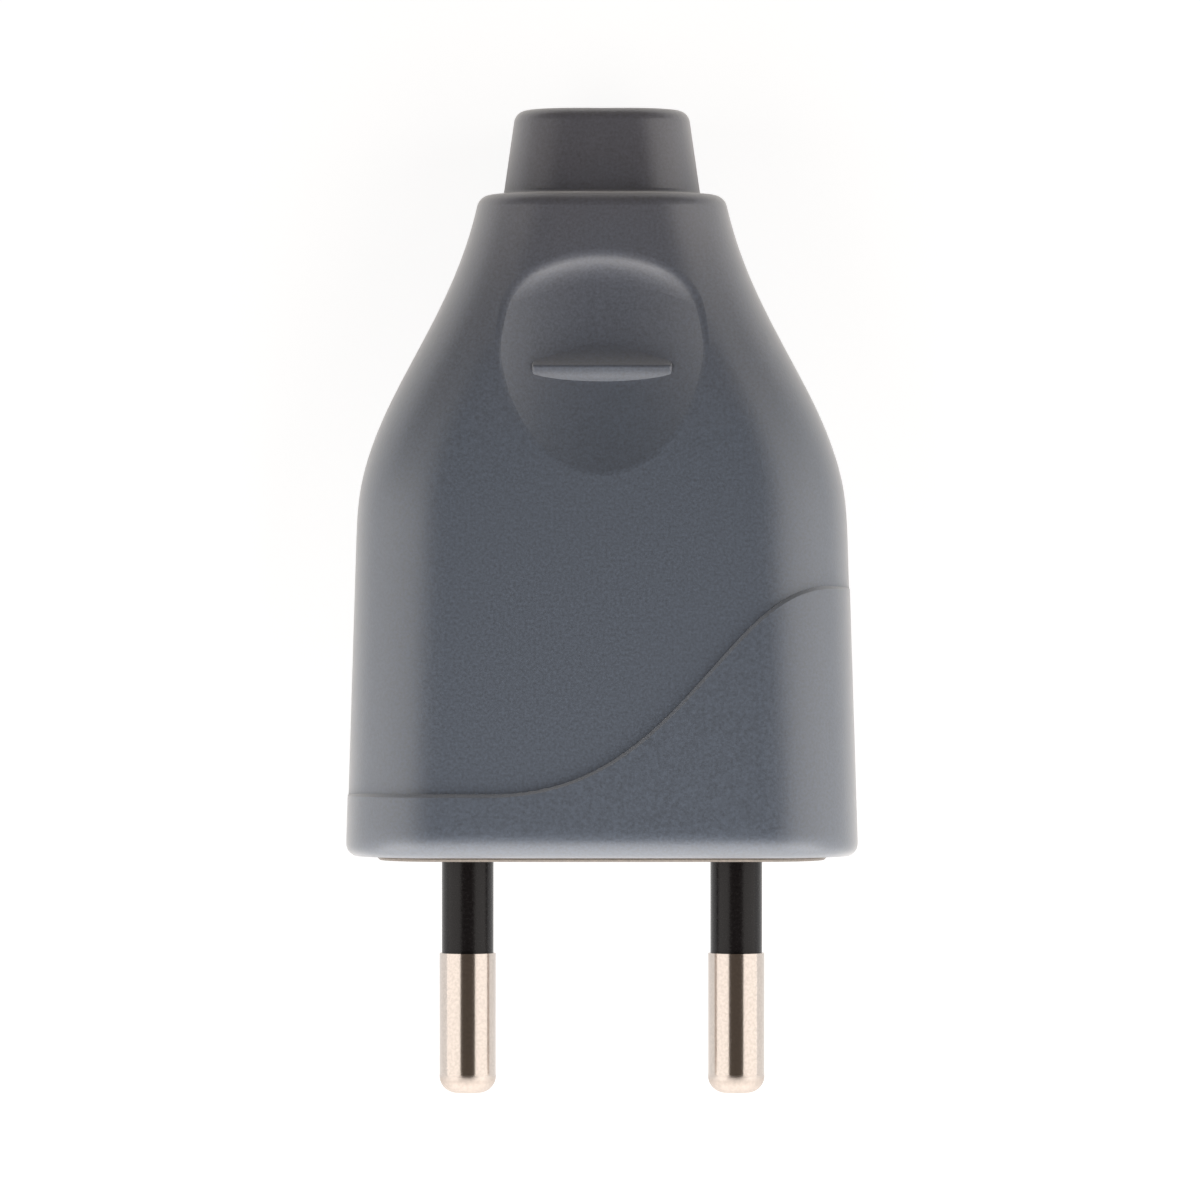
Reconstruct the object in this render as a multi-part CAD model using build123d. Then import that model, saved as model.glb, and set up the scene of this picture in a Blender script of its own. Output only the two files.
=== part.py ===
# Two-pin rewireable mains plug, lying on its back with the front face up.
# Millimetres. Origin: centre of the pin carrier's face. +X right, +Y towards the cable, +Z to the front.

import os
from math import cos, radians, sin

from build123d import *

# Pins
PIN_CENTRES = 19.0
PIN_DIA = 4.0
PIN_REACH = 16.5
PIN_TIP_RADIUS = 1.2
PIN_NECK_DIA = 2.9
PIN_HEAD_DIA = 5.8
PIN_HEAD_LENGTH = 10.5
WIRE_HOLE_DIA = 2.8
WIRE_HOLE_DEPTH = 6.5
SLEEVE_DIA = 3.66
SLEEVE_REACH = 6.6

# Hood, outside
RIM_WIDTH = 36.1
HIP_WIDTH = 34.7
HIP_Y = 23.0
HIP_REACH = 9.0
NECK_WIDTH = 17.3
NECK_LEAN = 0.2
NECK_REACH = 10.0
SHOULDER_Y = 46.9
HOOD_DEPTH = 14.0
NECK_DEPTH = 13.2
CORNER_RADIUS = 6.6
NECK_CORNER_RADIUS = 5.4
HOOD_STATIONS = 8
RIM_LENGTH = 1.9
RIM_TURN = 70.0
RIM_SIDE_LENGTH = 0.9
RIM_SIDE_TURN = 64.0
RIM_STATIONS = 5
SHOULDER_RADIUS = 1.0

# Raised skirt below the S-shaped step
SKIRT_RISE = 0.3
SKIRT_SIDE_RISE = 0.05
SKIRT_CHAMFER = 0.24
SKIRT_OVERLAP_Y = 3.0
STEP_LOW_Y = 4.8
STEP_HIGH_Y = 19.35
STEP_START_X = -7.5
STEP_END_X = 16.0
STEP_START_REACH = 13.0
STEP_END_REACH = 7.5

# Collar
COLLAR_HEIGHT = 6.0
COLLAR_BASE = (13.9, 10.2)
COLLAR_TOP = (12.2, 9.4)
COLLAR_CORNER = 4.2
COLLAR_TOP_RADIUS = 0.9
COLLAR_ROOT_RADIUS = 0.35
CABLE_BORE_DIA = 7.2
CABLE_BORE_CHAMFER = 0.5

# Thumb recess on both faces
RECESS_Y = 37.9
RECESS_FLOOR_Z = 5.5
RECESS_CROSS_RADIUS = 22.0
RECESS_LONG_RADIUS = 40.0
RECESS_HALF_LENGTH = 15.0
RECESS_TOP_Y = 42.5
RECESS_EDGE_Z = 6.7
RECESS_ARCH_RADIUS = 10.4
RECESS_WALL_LEAN = 0.9
RECESS_ROOT_RADIUS = 2.8
RECESS_EDGE_RADIUS = 1.0
LEDGE_Y = 34.7
LEDGE_TOP_Z = 6.48
LEDGE_WIDTH = 9.8
LEDGE_FACE = 1.2
LEDGE_NOSE_TILT = 15.0
LEDGE_RAMP = 2.1
LEDGE_EDGE_RADIUS = 0.2

# Hood, inside
WALL = 2.0
NECK_WALL = 2.6
CAVITY_END = 0.92
STOP_RIB_X = 14.6
STOP_RIB_THICKNESS = 2.0
STOP_RIB_LENGTH = 11.0

# Pin carrier
CARRIER_PROUD = 0.3
CARRIER_CLEARANCE = 0.1
CARRIER_EDGE_CHAMFER = 0.15
PLATE_THICKNESS = 3.2
BARREL_WIDTH = 8.2
BARREL_DEPTH = 8.4
BARREL_LENGTH = 11.8
BARREL_EDGE_RADIUS = 1.0
BARRIER_THICKNESS = 1.6
BARRIER_LENGTH = 15.0
TRAY_WIDTH = 16.0
TRAY_THICKNESS = 1.5
TRAY_BACK_Z = -4.4
BOSS_Y = 11.0
BOSS_DIA = 6.4
BOSS_TOP_Z = 1.4
PILOT_END_Z = 0.6

# Cord clamp
CLAMP_Y = 28.5
CLAMP_BED_WIDTH = 19.6
CLAMP_BED_LENGTH = 5.2
CLAMP_SPLIT_Z = -0.4
CLAMP_BAR_WIDTH = 19.2
CLAMP_BAR_LENGTH = 4.6
CLAMP_BAR_TOP_Z = 1.8
CLAMP_HOLE_RADIUS = 3.3
CLAMP_ARCH_WALL = 1.2
CLAMP_RIB_HEIGHT = 0.4
CLAMP_RIB_WIDTH = 0.8
CLAMP_RIB_SPACING = 2.2
CLAMP_SCREW_X = 7.0

# Screws
THREAD_DIA = 2.9
THREAD_CLEARANCE = 0.02
SCREW_HOLE_CLEARANCE = 0.15
SLOT_WIDTH = 0.8
SLOT_DEPTH = 0.7
TERMINAL_SCREW_Y = 10.2
TERMINAL_HEAD_DIA = 4.8
TERMINAL_HEAD_HEIGHT = 1.5
TERMINAL_HEAD_Z = 3.1
TERMINAL_TIP_Z = 0.3
CLAMP_HEAD_DIA = 5.0
CLAMP_HEAD_HEIGHT = 1.9
CLAMP_TIP_Z = -3.4
HOOD_HEAD_DIA = 5.6
HOOD_HEAD_SUNK = 0.15
HOOD_HEAD_RIM = 0.2

# Fits
PIN_CLEARANCE = 0.05
HEAD_CLEARANCE = 0.1

# Worked out from the values above
PIN_X = PIN_CENTRES / 2
RIM_Y = CARRIER_PROUD
COLLAR_TOP_Y = SHOULDER_Y + COLLAR_HEIGHT
SIDES = (-1, 1)
THREAD_RADIUS = THREAD_DIA / 2 - THREAD_CLEARANCE
FAR = 2 * RIM_WIDTH


def across(y):
    """Plane across the plug at y, its own Y axis pointing out of the front."""
    return Plane(origin=(0, y, 0), x_dir=(-1, 0, 0), z_dir=(0, 1, 0))


def slab(x_size, y_from, y_to, z_from, z_to):
    """Block centred on the plug's middle plane."""
    centre = Pos(0, (y_from + y_to) / 2, (z_from + z_to) / 2)
    return centre * Box(x_size, y_to - y_from, z_to - z_from)


def shoulder_curve():
    """Half of the outline from the hip to the shoulder, as half-width against y."""
    hip = HIP_WIDTH / 2
    neck = NECK_WIDTH / 2
    return Bezier(
        (hip, HIP_Y),
        (hip, HIP_Y + HIP_REACH),
        (neck + NECK_LEAN * NECK_REACH, SHOULDER_Y - NECK_REACH),
        (neck, SHOULDER_Y),
    )


def draft_width(y):
    """Width of the straight-sided part between the rim and the hip."""
    return RIM_WIDTH + (HIP_WIDTH - RIM_WIDTH) * (y - RIM_Y) / (HIP_Y - RIM_Y)


def hood_section(y, width, taper, side, front):
    """One cross-section; taper runs from 0 at the hip to 1 at the shoulder."""
    ease = taper**2 * (3 - 2 * taper)
    depth = HOOD_DEPTH + (NECK_DEPTH - HOOD_DEPTH) * ease
    corner = CORNER_RADIUS + (NECK_CORNER_RADIUS - CORNER_RADIUS) * taper + min(side, front, 0)
    return across(y) * RectangleRounded(width + 2 * side, depth + 2 * front, corner)


def hood_loft(start_y, end_taper, side, front, neck_side, neck_front):
    """Hood form from start_y to the shoulder, grown by side and front; negative values shrink it."""
    sections = []
    for step in range(HOOD_STATIONS):
        y = start_y + (HIP_Y - start_y) * step / HOOD_STATIONS
        sections.append(hood_section(y, draft_width(y), 0, side, front))
    curve = shoulder_curve()
    for step in range(HOOD_STATIONS + 1):
        taper = end_taper * step / HOOD_STATIONS
        point = curve @ taper
        grow_side = side + (neck_side - side) * taper
        grow_front = front + (neck_front - front) * taper
        sections.append(hood_section(point.Y, 2 * point.X, taper, grow_side, grow_front))
    return loft(sections)


def below_step():
    """Everything on the rim's side of the S-shaped step, through the whole depth."""
    start = (STEP_START_X, STEP_LOW_Y)
    end = (STEP_END_X, STEP_HIGH_Y)
    bend = Bezier(
        start,
        (STEP_START_X + STEP_START_REACH, STEP_LOW_Y),
        (STEP_END_X - STEP_END_REACH, STEP_HIGH_Y),
        end,
    )
    rest = Polyline(end, (FAR, STEP_HIGH_Y), (FAR, -FAR), (-FAR, -FAR), (-FAR, STEP_LOW_Y), start)
    return extrude(Pos(0, 0, -HOOD_DEPTH) * make_face(bend + rest), 2 * HOOD_DEPTH)


def hood_skirt():
    """Slightly raised lower part of the hood, up to the bevelled S-shaped edge."""
    form = hood_loft(SKIRT_OVERLAP_Y, 1, SKIRT_SIDE_RISE, SKIRT_RISE, SKIRT_SIDE_RISE, SKIRT_RISE)
    skirt = form & below_step()
    walls = [
        face
        for face in skirt.faces()
        if face.geom_type in (GeomType.PLANE, GeomType.EXTRUSION) and face.center().Y > SKIRT_OVERLAP_Y
    ]
    sides = [face for face in skirt.faces() if face.geom_type == GeomType.BSPLINE]
    edge = [e for wall in walls for e in wall.edges() if any(e in side.edges() for side in sides)]
    return chamfer(edge, SKIRT_CHAMFER)


def hood_rim():
    """Rounded lower end of the skirt: a long curve on the front and back, a shorter one at the sides."""
    radius = RIM_LENGTH / sin(radians(RIM_TURN))
    side_radius = RIM_SIDE_LENGTH / sin(radians(RIM_SIDE_TURN))
    sections = []
    for step in range(RIM_STATIONS):
        turn = radians(RIM_TURN) * (1 - step / RIM_STATIONS)
        fall = radius * sin(turn)
        front_inset = radius * (1 - cos(turn))
        side_fall = max(fall - RIM_LENGTH + RIM_SIDE_LENGTH, 0)
        side_inset = side_radius - (side_radius**2 - side_fall**2) ** 0.5
        y = RIM_Y + RIM_LENGTH - fall
        width = draft_width(y) + 2 * (SKIRT_SIDE_RISE - side_inset)
        depth = HOOD_DEPTH + 2 * (SKIRT_RISE - front_inset)
        corner = CORNER_RADIUS - (front_inset + side_inset) / 2
        sections.append(across(y) * RectangleRounded(width, depth, corner))
    start_y = RIM_Y + RIM_LENGTH
    for y in (start_y, (start_y + SKIRT_OVERLAP_Y) / 2, SKIRT_OVERLAP_Y):
        sections.append(hood_section(y, draft_width(y), 0, SKIRT_SIDE_RISE, SKIRT_RISE))
    return loft(sections)


def collar():
    """Stepped collar that takes the cable, with a root that reaches down into the hood."""
    root = across(SHOULDER_Y) * RectangleRounded(*COLLAR_BASE, COLLAR_CORNER)
    top = across(COLLAR_TOP_Y) * RectangleRounded(*COLLAR_TOP, COLLAR_CORNER)
    cone = loft([root, top])
    cone = fillet(cone.faces().sort_by(Axis.Y)[-1].edges(), COLLAR_TOP_RADIUS)
    return cone + extrude(root, -SHOULDER_RADIUS)


def grip_ledge():
    """Bar across the thumb recess: a hollow ramp up from the floor, a crest and a round-nosed face."""
    foot = (LEDGE_Y + LEDGE_RAMP, RECESS_FLOOR_Z)
    crest = (LEDGE_Y, LEDGE_TOP_Z)
    toe = (LEDGE_Y - LEDGE_FACE, RECESS_FLOOR_Z)
    tilt = radians(LEDGE_NOSE_TILT)
    ramp = TangentArc(foot, crest, tangent=(-1, 0))
    nose = TangentArc(crest, toe, tangent=(-cos(tilt), -sin(tilt)))
    profile = Plane.YZ * make_face(ramp + nose + Line(toe, foot))
    bar = extrude(profile, LEDGE_WIDTH / 2, both=True)
    return fillet(bar.edges().filter_by(lambda e: e.center().Z > RECESS_FLOOR_Z), LEDGE_EDGE_RADIUS)


def thumb_recess():
    """Hollow for the thumb on the front: a spoon-shaped floor under an arched wall, and a grip ledge."""
    axis_z = RECESS_FLOOR_Z + RECESS_CROSS_RADIUS
    sag = RECESS_LONG_RADIUS - (RECESS_LONG_RADIUS**2 - RECESS_HALF_LENGTH**2) ** 0.5
    low = (RECESS_Y - RECESS_HALF_LENGTH, RECESS_FLOOR_Z + sag)
    high = (RECESS_Y + RECESS_HALF_LENGTH, RECESS_FLOOR_Z + sag)
    floor = ThreePointArc(low, (RECESS_Y, RECESS_FLOOR_Z), high)
    rest = Polyline(high, (high[0], axis_z), (low[0], axis_z), low)
    spoon = revolve(Plane.YZ * make_face(floor + rest), Axis((0, 0, axis_z), (0, 1, 0)))
    height = HOOD_DEPTH / 2
    arch_low = RECESS_ARCH_RADIUS - RECESS_WALL_LEAN * height / 2
    arch_high = RECESS_ARCH_RADIUS + RECESS_WALL_LEAN * height / 2
    arch = Pos(0, RECESS_TOP_Y - RECESS_ARCH_RADIUS, RECESS_EDGE_Z) * Cone(arch_low, arch_high, height)
    hollow = spoon & arch
    wall = hollow.faces().filter_by(GeomType.CONE)[0]
    foot = wall.edges().sort_by(Axis.Z)[0]
    return fillet(foot, RECESS_ROOT_RADIUS) - grip_ledge()


def hood_cavity():
    """Room inside the hood, with the bore for the cable."""
    room = hood_loft(RIM_Y - RIM_LENGTH, CAVITY_END, -WALL, -WALL, -NECK_WALL, -NECK_WALL)
    bore = extrude(across(HIP_Y) * Circle(CABLE_BORE_DIA / 2), COLLAR_TOP_Y - HIP_Y)
    mouth = across(COLLAR_TOP_Y - CABLE_BORE_CHAMFER) * Circle(CABLE_BORE_DIA / 2)
    mouth_end = across(COLLAR_TOP_Y) * Circle(CABLE_BORE_DIA / 2 + CABLE_BORE_CHAMFER)
    return room + bore + loft([mouth, mouth_end])


def screw_profile(head_dia, head_height, shank_length):
    """Round screw along Z with the underside of its head at the origin and a slot across the head."""
    shank = Pos(0, 0, -shank_length / 2) * Cylinder(THREAD_RADIUS, shank_length)
    shank = chamfer(shank.faces().sort_by(Axis.Z)[0].edges(), THREAD_RADIUS / 4)
    head = Pos(0, 0, head_height / 2) * Cylinder(head_dia / 2, head_height)
    head = fillet(head.faces().sort_by(Axis.Z)[-1].edges(), head_height / 4)
    slot = Pos(0, 0, head_height - SLOT_DEPTH / 2) * Box(head_dia, SLOT_WIDTH, SLOT_DEPTH)
    return shank + head - slot


def hood_screw():
    """Countersunk screw that holds the hood on the carrier, driven in from the back."""
    face_z = HOOD_HEAD_SUNK - HOOD_DEPTH / 2
    radius = HOOD_HEAD_DIA / 2
    profile = Polyline(
        (0, face_z),
        (radius, face_z),
        (radius, face_z + HOOD_HEAD_RIM),
        (THREAD_RADIUS, face_z + HOOD_HEAD_RIM + radius - THREAD_RADIUS),
        (THREAD_RADIUS, -THREAD_RADIUS),
        (0, 0),
        close=True,
    )
    screw = revolve(Plane.XZ * make_face(profile), Axis.Z)
    slot = Pos(0, 0, face_z + SLOT_DEPTH / 2) * Box(2 * radius, SLOT_WIDTH, SLOT_DEPTH)
    return Pos(0, BOSS_Y, 0) * (screw - slot)


def hood_screw_hole():
    """Countersunk hole in the hood's back wall, its cone seating the screw head."""
    face_z = HOOD_HEAD_SUNK - HOOD_DEPTH / 2
    radius = HOOD_HEAD_DIA / 2
    hole = THREAD_DIA / 2 + SCREW_HOLE_CLEARANCE
    profile = Polyline(
        (0, -HOOD_DEPTH),
        (radius + HEAD_CLEARANCE, -HOOD_DEPTH),
        (radius + HEAD_CLEARANCE, face_z + HOOD_HEAD_RIM - HEAD_CLEARANCE),
        (hole, face_z + HOOD_HEAD_RIM + radius - hole),
        (hole, 0),
        (0, 0),
        close=True,
    )
    return Pos(0, BOSS_Y, 0) * revolve(Plane.XZ * make_face(profile), Axis.Z)


def hood():
    shell = hood_loft(SKIRT_OVERLAP_Y, 1, 0, 0, 0, 0)
    shell = fillet(shell.faces().sort_by(Axis.Y)[-1].edges(), SHOULDER_RADIUS)
    front = thumb_recess()
    back = mirror(front, Plane.XY)
    scooped = shell - front - back
    scooped = fillet(new_edges(shell, front, back, combined=scooped), RECESS_EDGE_RADIUS)
    body = scooped + hood_skirt() + hood_rim() + collar()
    shoulder = body.faces().filter_by(GeomType.PLANE).sort_by(lambda f: abs(f.center().Y - SHOULDER_Y))[0]
    body = fillet(shoulder.inner_wires()[0].edges(), COLLAR_ROOT_RADIUS)
    body = body - hood_cavity() - hood_screw_hole()
    rib_end = PLATE_THICKNESS + STOP_RIB_LENGTH
    half = STOP_RIB_THICKNESS / 2
    ribs = slab(2 * (STOP_RIB_X + WALL), PLATE_THICKNESS, rib_end, -half, half)
    ribs = ribs - slab(2 * STOP_RIB_X, PLATE_THICKNESS, rib_end, -half, half)
    return body + ribs


def pin(side):
    """Turned pin with a neck for its sleeve and a drilled terminal head."""
    radius = PIN_DIA / 2
    head_end = PLATE_THICKNESS + PIN_HEAD_LENGTH
    profile = Polyline(
        (0, -PIN_REACH),
        (radius, -PIN_REACH),
        (radius, -SLEEVE_REACH),
        (PIN_NECK_DIA / 2, -SLEEVE_REACH),
        (PIN_NECK_DIA / 2, PLATE_THICKNESS),
        (PIN_HEAD_DIA / 2, PLATE_THICKNESS),
        (PIN_HEAD_DIA / 2, head_end),
        (0, head_end),
        close=True,
    )
    turned = revolve(make_face(profile), Axis.Y)
    tip = turned.edges().sort_by(Axis.Y)[0]
    turned = fillet(tip, PIN_TIP_RADIUS)
    wire_hole = extrude(across(head_end - WIRE_HOLE_DEPTH) * Circle(WIRE_HOLE_DIA / 2), WIRE_HOLE_DEPTH)
    screw_hole = extrude(Pos(0, TERMINAL_SCREW_Y, 0) * Circle(THREAD_DIA / 2), PIN_HEAD_DIA)
    return Pos(side * PIN_X, 0, 0) * (turned - wire_hole - screw_hole)


def pin_sleeve(side):
    """Insulating sleeve on the pin's neck, from the bare contact part up to the head."""
    ring = across(-SLEEVE_REACH) * (Circle(SLEEVE_DIA / 2) - Circle(PIN_NECK_DIA / 2))
    return Pos(side * PIN_X, 0, 0) * extrude(ring, SLEEVE_REACH + PLATE_THICKNESS)


def terminal_screw(side):
    screw = screw_profile(TERMINAL_HEAD_DIA, TERMINAL_HEAD_HEIGHT, TERMINAL_HEAD_Z - TERMINAL_TIP_Z)
    return Pos(side * PIN_X, TERMINAL_SCREW_Y, TERMINAL_HEAD_Z) * screw


def clamp_screw(side):
    screw = screw_profile(CLAMP_HEAD_DIA, CLAMP_HEAD_HEIGHT, CLAMP_BAR_TOP_Z - CLAMP_TIP_Z)
    return Pos(side * CLAMP_SCREW_X, CLAMP_Y, CLAMP_BAR_TOP_Z) * screw


def clamp_holes(radius, z_from, z_to):
    """Two holes for the clamp screws."""
    hole = Cylinder(radius, z_to - z_from)
    return [Pos(side * CLAMP_SCREW_X, CLAMP_Y, (z_from + z_to) / 2) * hole for side in SIDES]


def cord_clamp():
    """Bar arched over the cable, with two gripping ribs."""
    start = CLAMP_Y - CLAMP_BAR_LENGTH / 2
    end = CLAMP_Y + CLAMP_BAR_LENGTH / 2
    bar = slab(CLAMP_BAR_WIDTH, start, end, CLAMP_SPLIT_Z, CLAMP_BAR_TOP_Z)
    arch = extrude(across(start) * Circle(CLAMP_HOLE_RADIUS + CLAMP_ARCH_WALL), CLAMP_BAR_LENGTH)
    cable = extrude(across(start) * Circle(CLAMP_HOLE_RADIUS), CLAMP_BAR_LENGTH)
    ring = Circle(CLAMP_HOLE_RADIUS) - Circle(CLAMP_HOLE_RADIUS - CLAMP_RIB_HEIGHT)
    clamp = bar + arch - cable
    for side in SIDES:
        rib_y = CLAMP_Y + side * CLAMP_RIB_SPACING / 2 - CLAMP_RIB_WIDTH / 2
        clamp = clamp + extrude(across(rib_y) * ring, CLAMP_RIB_WIDTH)
    clamp = clamp & slab(CLAMP_BAR_WIDTH, start, end, CLAMP_SPLIT_Z, HOOD_DEPTH)
    return clamp - clamp_holes(THREAD_DIA / 2 + SCREW_HOLE_CLEARANCE, CLAMP_SPLIT_Z, HOOD_DEPTH)


def barrel(side):
    """Open-ended chamber for one terminal head, with a hole for its screw."""
    end = PLATE_THICKNESS + BARREL_LENGTH
    block = slab(BARREL_WIDTH, 0, end, -BARREL_DEPTH / 2, BARREL_DEPTH / 2)
    block = fillet(block.edges().filter_by(Axis.Y), BARREL_EDGE_RADIUS)
    return Pos(side * PIN_X, 0, 0) * block


def barrel_bores(side):
    """Bores of one chamber: the sleeve's hole, the head's room and the way in for the screw."""
    sleeve = extrude(across(0) * Circle(PIN_DIA / 2 + PIN_CLEARANCE), PLATE_THICKNESS)
    head = extrude(across(PLATE_THICKNESS) * Circle(PIN_HEAD_DIA / 2 + HEAD_CLEARANCE), BARREL_LENGTH)
    screw = Circle(TERMINAL_HEAD_DIA / 2 + HEAD_CLEARANCE)
    screw = extrude(Pos(0, TERMINAL_SCREW_Y, 0) * screw, BARREL_DEPTH)
    return Pos(side * PIN_X, 0, 0) * (sleeve + head + screw)


def pin_carrier():
    """Moulded insert: face plate, terminal chambers, barrier, screw boss and the bed of the cord clamp."""
    shrink = WALL + CARRIER_CLEARANCE
    width = draft_width(PLATE_THICKNESS) - 2 * shrink
    outline = across(0) * RectangleRounded(width, HOOD_DEPTH - 2 * shrink, CORNER_RADIUS - shrink)
    plate = extrude(outline, PLATE_THICKNESS)
    plate = chamfer(plate.faces().sort_by(Axis.Y)[0].edges(), CARRIER_EDGE_CHAMFER)
    bed_start = CLAMP_Y - CLAMP_BED_LENGTH / 2
    bed_end = CLAMP_Y + CLAMP_BED_LENGTH / 2
    tray = slab(TRAY_WIDTH, 0, bed_end, TRAY_BACK_Z, TRAY_BACK_Z + TRAY_THICKNESS)
    bed = slab(CLAMP_BED_WIDTH, bed_start, bed_end, TRAY_BACK_Z, CLAMP_SPLIT_Z)
    barrier_end = PLATE_THICKNESS + BARRIER_LENGTH
    barrier = slab(BARRIER_THICKNESS, 0, barrier_end, TRAY_BACK_Z, BARREL_DEPTH / 2)
    boss_base_z = WALL + CARRIER_CLEARANCE - HOOD_DEPTH / 2
    boss = Pos(0, BOSS_Y, boss_base_z) * extrude(Circle(BOSS_DIA / 2), BOSS_TOP_Z - boss_base_z)
    body = plate + tray + bed + barrier + boss
    for side in SIDES:
        body = body + barrel(side)
    for side in SIDES:
        body = body - barrel_bores(side)
    cable = extrude(across(bed_start) * Circle(CLAMP_HOLE_RADIUS), CLAMP_BED_LENGTH)
    pilot = Pos(0, BOSS_Y, boss_base_z) * extrude(Circle(THREAD_DIA / 2), PILOT_END_Z - boss_base_z)
    return body - cable - pilot - clamp_holes(THREAD_DIA / 2, TRAY_BACK_Z, CLAMP_SPLIT_Z)


def nodes():
    named = {
        "hood": hood(),
        "pin_carrier": pin_carrier(),
        "cord_clamp": cord_clamp(),
        "hood_screw": hood_screw(),
    }
    for name, side in (("left", -1), ("right", 1)):
        named[f"{name}_pin"] = pin(side)
        named[f"{name}_pin_sleeve"] = pin_sleeve(side)
        named[f"{name}_terminal_screw"] = terminal_screw(side)
        named[f"{name}_clamp_screw"] = clamp_screw(side)
    return named


os.makedirs("parts", exist_ok=True)
for node_name, solid in nodes().items():
    export_step(solid, f"parts/{node_name}.step")
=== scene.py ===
import math

import bpy
from mathutils import Matrix, Vector


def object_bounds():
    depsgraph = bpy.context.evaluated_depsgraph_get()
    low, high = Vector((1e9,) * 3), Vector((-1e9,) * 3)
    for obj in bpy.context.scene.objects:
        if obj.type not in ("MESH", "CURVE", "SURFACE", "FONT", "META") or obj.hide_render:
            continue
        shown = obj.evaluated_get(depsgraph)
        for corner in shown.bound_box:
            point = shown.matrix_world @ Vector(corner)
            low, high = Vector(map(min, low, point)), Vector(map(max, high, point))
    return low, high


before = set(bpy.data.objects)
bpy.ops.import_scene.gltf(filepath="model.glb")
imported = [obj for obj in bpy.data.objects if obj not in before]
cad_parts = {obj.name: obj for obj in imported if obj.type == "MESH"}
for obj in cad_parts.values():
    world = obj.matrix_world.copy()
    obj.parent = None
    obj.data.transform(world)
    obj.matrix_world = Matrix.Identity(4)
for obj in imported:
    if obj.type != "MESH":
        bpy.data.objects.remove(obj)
cad_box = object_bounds()
scene = bpy.context.scene
scene.view_settings.view_transform = "Standard"

# Camera: straight down on the plug, image up along +Y; metres, the sensor in millimetres
VIEW_CENTRE = (-0.00014, 0.01835)
VIEW_DISTANCE = 0.480
VIEW_WIDTH = 0.0849
SENSOR_WIDTH = 36.0
CLIP_START = 0.01

# Floor: its size, its white, the share that shows shadows, and its glow near the plug,
# which rises to full white between two distances; lengths in metres
FLOOR_SIZE = 6.0
FLOOR_WHITE = 0.85
FLOOR_SHADE = 0.3
FLOOR_GLOW = 0.84
GLOW_FROM = 0.15
GLOW_TO = 0.8
FLOOR_Z = cad_box[0][2]

# Soft boxes, in metres: distance of the foot, angle from upright to the top, span along the floor
BOX_FOOT_Z = FLOOR_Z + 0.002
BOX_REACH = 1.12
SIDE_FOOT = 0.30
SIDE_TOP_ANGLE = math.radians(30)
RIGHT_SPAN = (-0.55, 0.15)
LEFT_SPAN = (-0.55, 0.09)
FRONT_FOOT = 0.07
FRONT_TOP_ANGLE = math.radians(45)
FRONT_SPAN = (-0.10, 0.10)
RIGHT_RADIANCE = 1.62
LEFT_RADIANCE = 1.6
FRONT_RADIANCE = 2.25
LAMP_COLOUR = (1.0, 0.965, 0.93)
WORLD_COLOUR = (0.108, 0.088, 0.072)

# Colours, linear; the hood's second one is painted shade: its neck and collar darker and warmer than the
# rest
HOOD_GREY = (0.056, 0.080, 0.121)
HOOD_PAINTED_SHADE_GREY = (0.062, 0.066, 0.090)
# The carrier's own colour is a dark grey; this lighter, warmer one is partly a painted highlight on its
# edge under the rim
CARRIER_GREY_WITH_PAINTED_HIGHLIGHT = (0.185, 0.158, 0.134)
SLEEVE_BLACK = (0.008, 0.007, 0.0075)
NICKEL = (0.593, 0.530, 0.484)
ZINC = (0.62, 0.63, 0.64)

# Surfaces: place of the painted shade, range of the noises, grain, gloss and the pins' matt tips
MM = 0.001
PAINTED_SHADE_FROM_Y = 30 * MM
PAINTED_SHADE_TO_Y = 50 * MM
CLOUD_FEATURE = 4 * MM
CLOUD_REACH = 8 * MM
NOISE_LOW = 0.3
NOISE_HIGH = 0.7
RAMP_LOW = 0.35
RAMP_HIGH = 0.65
SPECKLE = 0.28
GRAIN_BUMP = 0.45
GRAIN_HEIGHT = 0.02 * MM
PLASTIC_SPREAD = 0.05
METAL_SPREAD = 0.2
DULL_SHARE = 0.9
PLASTIC_IOR = 1.55
SHEEN_SPREAD = 0.53
TIP_Y = -15.6 * MM
TIP_BLEND = 0.5 * MM
TIP_ROUGHNESS = 0.7


def new_material(name):
    """Material with its nodes, links and shader."""
    material = bpy.data.materials.new(name)
    material.use_nodes = True
    nodes = material.node_tree.nodes
    return material, nodes, material.node_tree.links, nodes["Principled BSDF"]


def object_noise(nodes, links, feature, detail=2.0, roughness=0.5):
    """Noise in the part's own coordinates whose features are about that many metres across."""
    coordinates = nodes.new("ShaderNodeTexCoord")
    noise = nodes.new("ShaderNodeTexNoise")
    noise.inputs["Scale"].default_value = 1 / feature
    noise.inputs["Detail"].default_value = detail
    noise.inputs["Roughness"].default_value = roughness
    links.new(coordinates.outputs["Object"], noise.inputs["Vector"])
    return noise


def colour_ramp(nodes, links, source, low, high, low_at=RAMP_LOW, high_at=RAMP_HIGH):
    """Colour between low and high, by the source's value."""
    ramp = nodes.new("ShaderNodeValToRGB")
    ramp.color_ramp.elements[0].position = low_at
    ramp.color_ramp.elements[0].color = (*low, 1)
    ramp.color_ramp.elements[1].position = high_at
    ramp.color_ramp.elements[1].color = (*high, 1)
    links.new(source, ramp.inputs["Fac"])
    return ramp


def value_range(nodes, links, source, low, high):
    """Number between low and high, by a noise's value."""
    mapped = nodes.new("ShaderNodeMapRange")
    mapped.inputs["From Min"].default_value = NOISE_LOW
    mapped.inputs["From Max"].default_value = NOISE_HIGH
    mapped.inputs["To Min"].default_value = low
    mapped.inputs["To Max"].default_value = high
    links.new(source, mapped.inputs["Value"])
    return mapped


def bump(nodes, links, source, strength):
    """Fine relief by a noise's value."""
    node = nodes.new("ShaderNodeBump")
    node.inputs["Strength"].default_value = strength
    node.inputs["Distance"].default_value = GRAIN_HEIGHT
    links.new(source, node.inputs["Height"])
    return node.outputs["Normal"]


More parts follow.
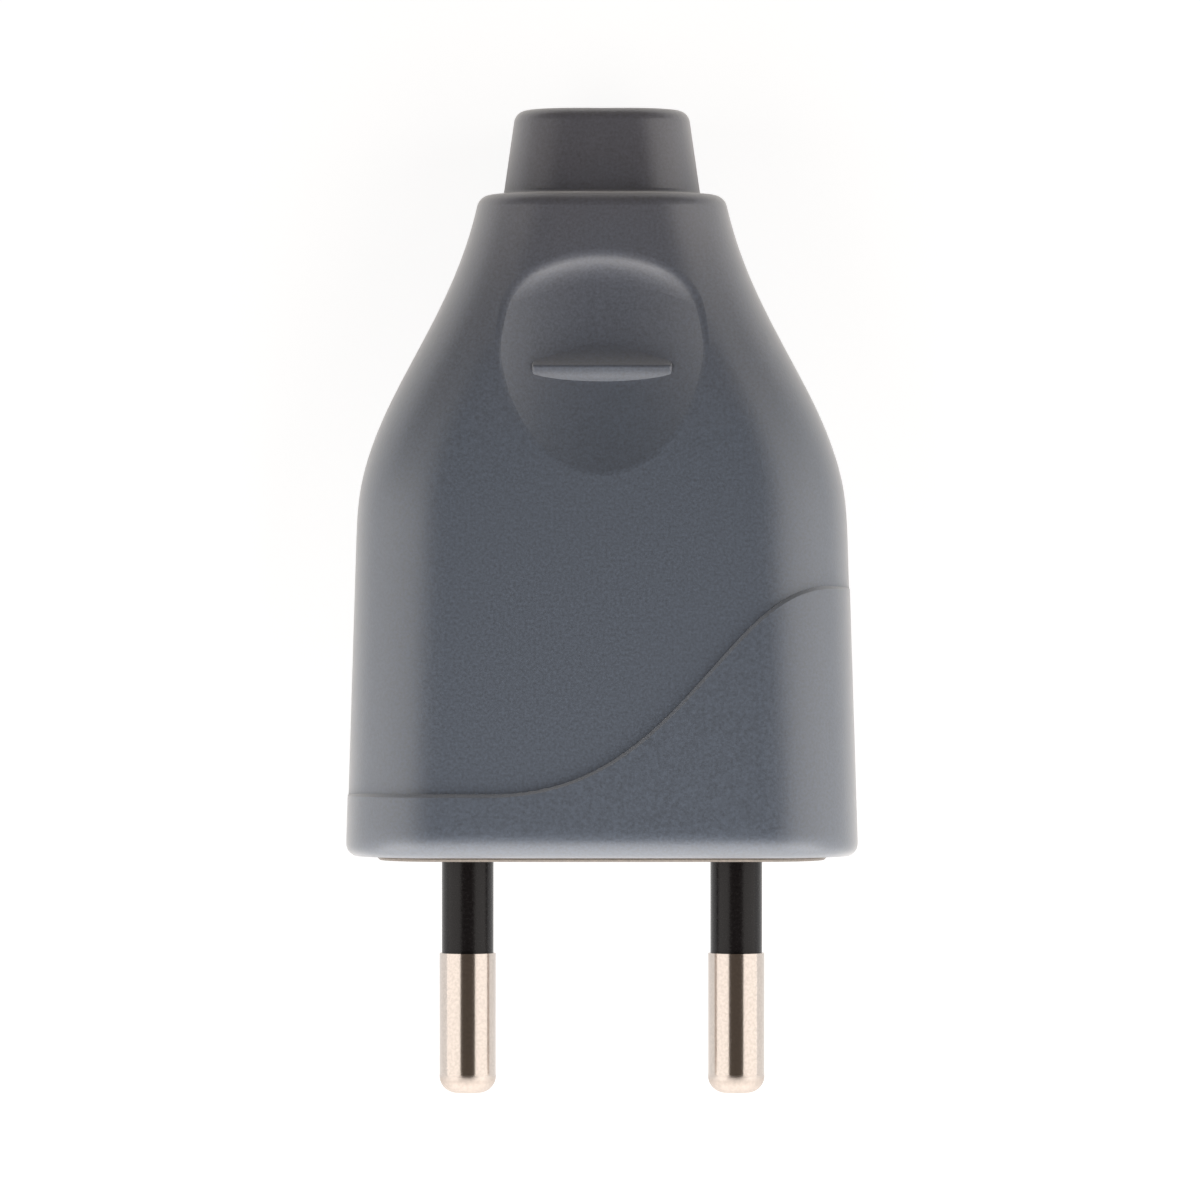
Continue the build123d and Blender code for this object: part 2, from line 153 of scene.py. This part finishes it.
def plug_y(nodes, links):
    """Distance along the plug from its face, in metres."""
    coordinates = nodes.new("ShaderNodeTexCoord")
    split = nodes.new("ShaderNodeSeparateXYZ")
    links.new(coordinates.outputs["Object"], split.inputs["Vector"])
    return split.outputs["Y"]


def painted_shade_along_plug(nodes, links):
    """Mask of the painted shade: rises from 0 to 1 along the upper part of the plug, a little cloudy."""
    cloud = object_noise(nodes, links, CLOUD_FEATURE)
    shifted = nodes.new("ShaderNodeMath")
    shifted.operation = "MULTIPLY_ADD"
    links.new(cloud.outputs["Fac"], shifted.inputs[0])
    shifted.inputs[1].default_value = CLOUD_REACH
    links.new(plug_y(nodes, links), shifted.inputs[2])
    rise = nodes.new("ShaderNodeMapRange")
    rise.inputs["From Min"].default_value = PAINTED_SHADE_FROM_Y + CLOUD_REACH / 2
    rise.inputs["From Max"].default_value = PAINTED_SHADE_TO_Y + CLOUD_REACH / 2
    links.new(shifted.outputs[0], rise.inputs["Value"])
    return rise.outputs["Result"]


def speckled(nodes, links, tint, noise):
    """The tint, a little darker and lighter from grain to grain."""
    shade = value_range(nodes, links, noise.outputs["Fac"], 1 - SPECKLE, 1 + SPECKLE)
    scaled = nodes.new("ShaderNodeVectorMath")
    scaled.operation = "SCALE"
    links.new(tint.outputs["Color"], scaled.inputs[0])
    links.new(shade.outputs["Result"], scaled.inputs["Scale"])
    return scaled.outputs["Vector"]


def moulded_plastic(name, colour, painted_shade_colour, roughness, grain, specular, sheen=0.0):
    """Spark-eroded plastic: fine grain and gloss, and painted shade: the second colour, which it turns
    to along the plug towards the collar, over a faintly cloudy edge.
    """
    material, nodes, links, shader = new_material(name)
    fine = object_noise(nodes, links, grain, detail=3.0, roughness=0.6)
    # Painted shade: the colour turns darker and warmer along the plug towards the neck and collar
    tint = colour_ramp(nodes, links, painted_shade_along_plug(nodes, links), colour, painted_shade_colour, low_at=0.0, high_at=1.0)
    links.new(speckled(nodes, links, tint, fine), shader.inputs["Base Color"])
    gloss = value_range(
        nodes, links, fine.outputs["Fac"], roughness - PLASTIC_SPREAD, roughness + PLASTIC_SPREAD
    )
    links.new(gloss.outputs["Result"], shader.inputs["Roughness"])
    links.new(bump(nodes, links, fine.outputs["Fac"], GRAIN_BUMP), shader.inputs["Normal"])
    shader.inputs["IOR"].default_value = PLASTIC_IOR
    shader.inputs["Specular IOR Level"].default_value = specular
    shader.inputs["Sheen Weight"].default_value = sheen
    shader.inputs["Sheen Roughness"].default_value = SHEEN_SPREAD
    return material


def tumbled_tip(nodes, links, roughness):
    """Roughness of a pin: rises to matt over the rounded tip."""
    rise = nodes.new("ShaderNodeMapRange")
    rise.inputs["From Min"].default_value = TIP_Y
    rise.inputs["From Max"].default_value = TIP_Y + TIP_BLEND
    rise.inputs["To Min"].default_value = TIP_ROUGHNESS
    rise.inputs["To Max"].default_value = roughness
    links.new(plug_y(nodes, links), rise.inputs["Value"])
    return rise


def plated_metal(name, colour, roughness, scratch, marks, tip=False):
    """Bright plate, faintly uneven in colour and surface; a pin also has a matt tip."""
    material, nodes, links, shader = new_material(name)
    shader.inputs["Metallic"].default_value = 1.0
    fine = object_noise(nodes, links, scratch, detail=4.0)
    dull = tuple(c * DULL_SHARE for c in colour)
    tint = colour_ramp(nodes, links, fine.outputs["Fac"], dull, colour)
    links.new(tint.outputs["Color"], shader.inputs["Base Color"])
    if tip:
        gloss = tumbled_tip(nodes, links, roughness)
    else:
        smooth, worn = roughness * (1 - METAL_SPREAD), roughness * (1 + METAL_SPREAD)
        gloss = value_range(nodes, links, fine.outputs["Fac"], smooth, worn)
    links.new(gloss.outputs["Result"], shader.inputs["Roughness"])
    links.new(bump(nodes, links, fine.outputs["Fac"], marks), shader.inputs["Normal"])
    return material


def dress(material, *names):
    """Gives the named pieces one material."""
    for name in names:
        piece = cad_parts[name]
        piece.data.materials.clear()
        piece.data.materials.append(material)


def make_materials():
    """One material for each kind of surface."""
    hood = moulded_plastic(
        "hood_plastic",
        HOOD_GREY,
        HOOD_PAINTED_SHADE_GREY,
        roughness=0.42,
        grain=0.2 * MM,
        specular=1.0,
        sheen=1.0,
    )
    # The carrier's colour holds a painted highlight on its edge under the rim
    carrier = moulded_plastic(
        "carrier_plastic", CARRIER_GREY_WITH_PAINTED_HIGHLIGHT, CARRIER_GREY_WITH_PAINTED_HIGHLIGHT, roughness=0.4, grain=0.15 * MM, specular=0.5
    )
    sleeve = moulded_plastic(
        "sleeve_plastic", SLEEVE_BLACK, SLEEVE_BLACK, roughness=0.25, grain=0.2 * MM, specular=0.2
    )
    nickel = plated_metal("pin_metal", NICKEL, roughness=0.17, scratch=0.2 * MM, marks=0.15, tip=True)
    zinc = plated_metal("screw_steel", ZINC, roughness=0.3, scratch=0.1 * MM, marks=0.05)
    dress(hood, "hood")
    dress(carrier, "pin_carrier", "cord_clamp")
    dress(sleeve, "left_pin_sleeve", "right_pin_sleeve")
    dress(nickel, "left_pin", "right_pin")
    dress(zinc, "hood_screw")
    for side in ("left", "right"):
        dress(zinc, f"{side}_terminal_screw", f"{side}_clamp_screw")


def plane_object(name, corners):
    """Flat piece of the studio with four corners."""
    mesh = bpy.data.meshes.new(name)
    mesh.from_pydata(corners, [], [(0, 1, 2, 3)])
    piece = bpy.data.objects.new(name, mesh)
    scene.collection.objects.link(piece)
    return piece


def background_rays(nodes, links):
    """1 for the rays that show the background: straight from the camera, mirrored or let through."""
    path = nodes.new("ShaderNodeLightPath")
    total = path.outputs["Is Camera Ray"]
    for kind in ("Is Glossy Ray", "Is Transmission Ray"):
        either = nodes.new("ShaderNodeMath")
        either.operation = "MAXIMUM"
        links.new(total, either.inputs[0])
        links.new(path.outputs[kind], either.inputs[1])
        total = either.outputs[0]
    return total


def far_glow(nodes, links):
    """Glow of the floor: full white far off, where the lamps don't reach, and less round the plug."""
    coordinates = nodes.new("ShaderNodeTexCoord")
    distance = nodes.new("ShaderNodeVectorMath")
    distance.operation = "LENGTH"
    links.new(coordinates.outputs["Object"], distance.inputs[0])
    rise = nodes.new("ShaderNodeMapRange")
    rise.inputs["From Min"].default_value = GLOW_FROM
    rise.inputs["From Max"].default_value = GLOW_TO
    rise.inputs["To Min"].default_value = FLOOR_GLOW
    links.new(distance.outputs["Value"], rise.inputs["Value"])
    return rise.outputs["Result"]


def matt_grey(nodes, level):
    """Plain matt shader of that level."""
    shader = nodes.new("ShaderNodeBsdfDiffuse")
    shader.inputs["Color"].default_value = (level, level, level, 1)
    return shader


def make_floor():
    """White floor with the plug's shadow. Its glow is seen, straight or mirrored, but lights nothing."""
    half = FLOOR_SIZE / 2
    corners = [(x * half, y * half, FLOOR_Z) for x, y in ((-1, -1), (1, -1), (1, 1), (-1, 1))]
    floor = plane_object("floor", corners)
    material = bpy.data.materials.new("floor_white")
    material.use_nodes = True
    nodes = material.node_tree.nodes
    links = material.node_tree.links
    nodes.clear()
    output = nodes.new("ShaderNodeOutputMaterial")
    lit = matt_grey(nodes, FLOOR_WHITE)
    shadow = matt_grey(nodes, FLOOR_SHADE)
    glow = nodes.new("ShaderNodeEmission")
    links.new(far_glow(nodes, links), glow.inputs["Strength"])
    shown = nodes.new("ShaderNodeAddShader")
    links.new(shadow.outputs[0], shown.inputs[0])
    links.new(glow.outputs[0], shown.inputs[1])
    mix = nodes.new("ShaderNodeMixShader")
    links.new(background_rays(nodes, links), mix.inputs["Fac"])
    links.new(lit.outputs[0], mix.inputs[1])
    links.new(shown.outputs[0], mix.inputs[2])
    links.new(mix.outputs[0], output.inputs["Surface"])
    floor.data.materials.append(material)


def softbox(name, heading, span, foot, top_angle, radiance):
    """Soft panel on the side of that heading, rising from the floor and leaning over the plug."""
    out = Vector((math.cos(heading), math.sin(heading), 0))
    across = Vector((abs(out.y), abs(out.x), 0))
    middle = across * (span[0] + span[1]) / 2
    reach = foot * BOX_REACH
    low = middle + out * foot + Vector((0, 0, BOX_FOOT_Z))
    high = middle + out * reach * math.sin(top_angle) + Vector((0, 0, reach * math.cos(top_angle)))
    up = (high - low).normalized()
    facing = across.cross(up)
    if facing.dot(out) < 0:
        across, facing = -across, -facing
    lamp = bpy.data.lights.new(name, "AREA")
    lamp.shape = "RECTANGLE"
    lamp.size = span[1] - span[0]
    lamp.size_y = (high - low).length
    lamp.color = LAMP_COLOUR
    lamp.energy = radiance * math.pi * lamp.size * lamp.size_y
    holder = bpy.data.objects.new(name, lamp)
    turn = Matrix((across, up, facing)).transposed().to_4x4()
    holder.matrix_world = Matrix.Translation((low + high) / 2) @ turn
    holder.visible_camera = False
    scene.collection.objects.link(holder)


def make_light():
    """Three soft boxes and a dim room."""
    softbox("softbox_right", 0, RIGHT_SPAN, SIDE_FOOT, SIDE_TOP_ANGLE, RIGHT_RADIANCE)
    softbox("softbox_left", math.pi, LEFT_SPAN, SIDE_FOOT, SIDE_TOP_ANGLE, LEFT_RADIANCE)
    softbox("softbox_front", -math.pi / 2, FRONT_SPAN, FRONT_FOOT, FRONT_TOP_ANGLE, FRONT_RADIANCE)
    world = bpy.data.worlds.new("studio")
    world.use_nodes = True
    scene.world = world
    background = world.node_tree.nodes["Background"]
    background.inputs["Color"].default_value = (*WORLD_COLOUR, 1)


def make_camera():
    """Camera over the plug, looking straight down."""
    data = bpy.data.cameras.new("camera")
    data.sensor_width = SENSOR_WIDTH
    data.lens = SENSOR_WIDTH * VIEW_DISTANCE / VIEW_WIDTH
    data.clip_start = CLIP_START
    camera = bpy.data.objects.new("camera", data)
    camera.location = (*VIEW_CENTRE, VIEW_DISTANCE)
    scene.collection.objects.link(camera)
    scene.camera = camera


make_materials()
make_floor()
make_light()
make_camera()
